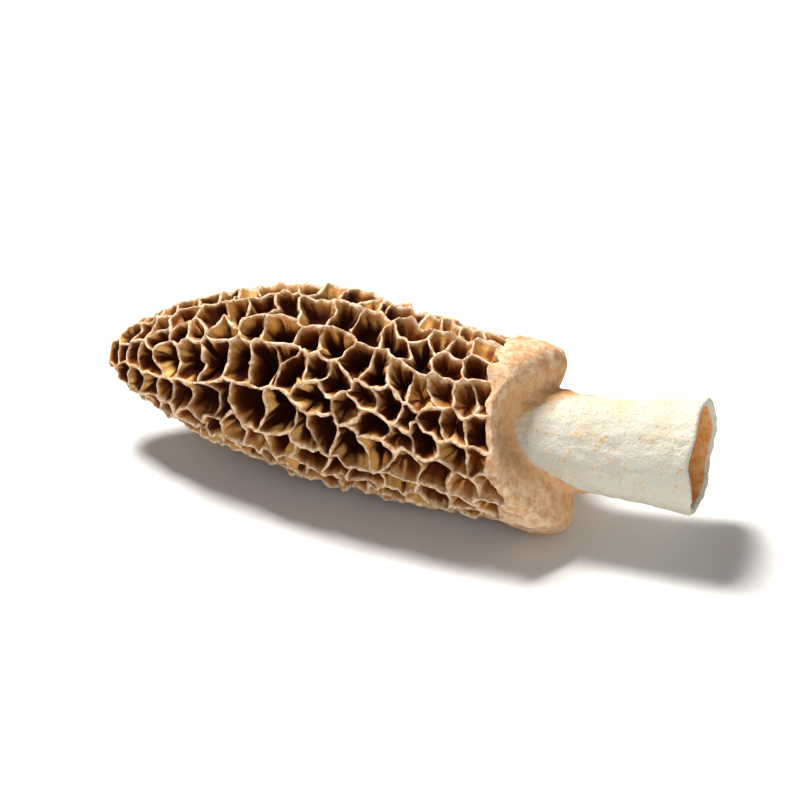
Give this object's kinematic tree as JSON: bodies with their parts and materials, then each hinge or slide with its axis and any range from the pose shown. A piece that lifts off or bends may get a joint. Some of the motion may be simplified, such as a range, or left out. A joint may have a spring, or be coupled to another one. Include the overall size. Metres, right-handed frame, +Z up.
{
  "type": "dried morel mushroom",
  "caption": "Dried morel lying on its side: a pointed, honeycombed brown cap with pale ridges, a puffy tan shoulder and a short, hollow, cream stem that was cut across.",
  "frame": {"origin": "under the middle of the mushroom, on the surface it lies on", "axes": "+X from the cap's tip to the stem's cut end, +Z up, +Y away from the side with the lower lean of the cap's edge"},
  "size_m": [0.0856, 0.0298, 0.0269],
  "materials": {
    "dried_flesh": "dry and matt; dark brown pits between thin cream ridges, tan shoulder, cream stem"
  },
  "bodies": {
    "root": {"morel": "dried_flesh"}
  },
  "joints": []
}
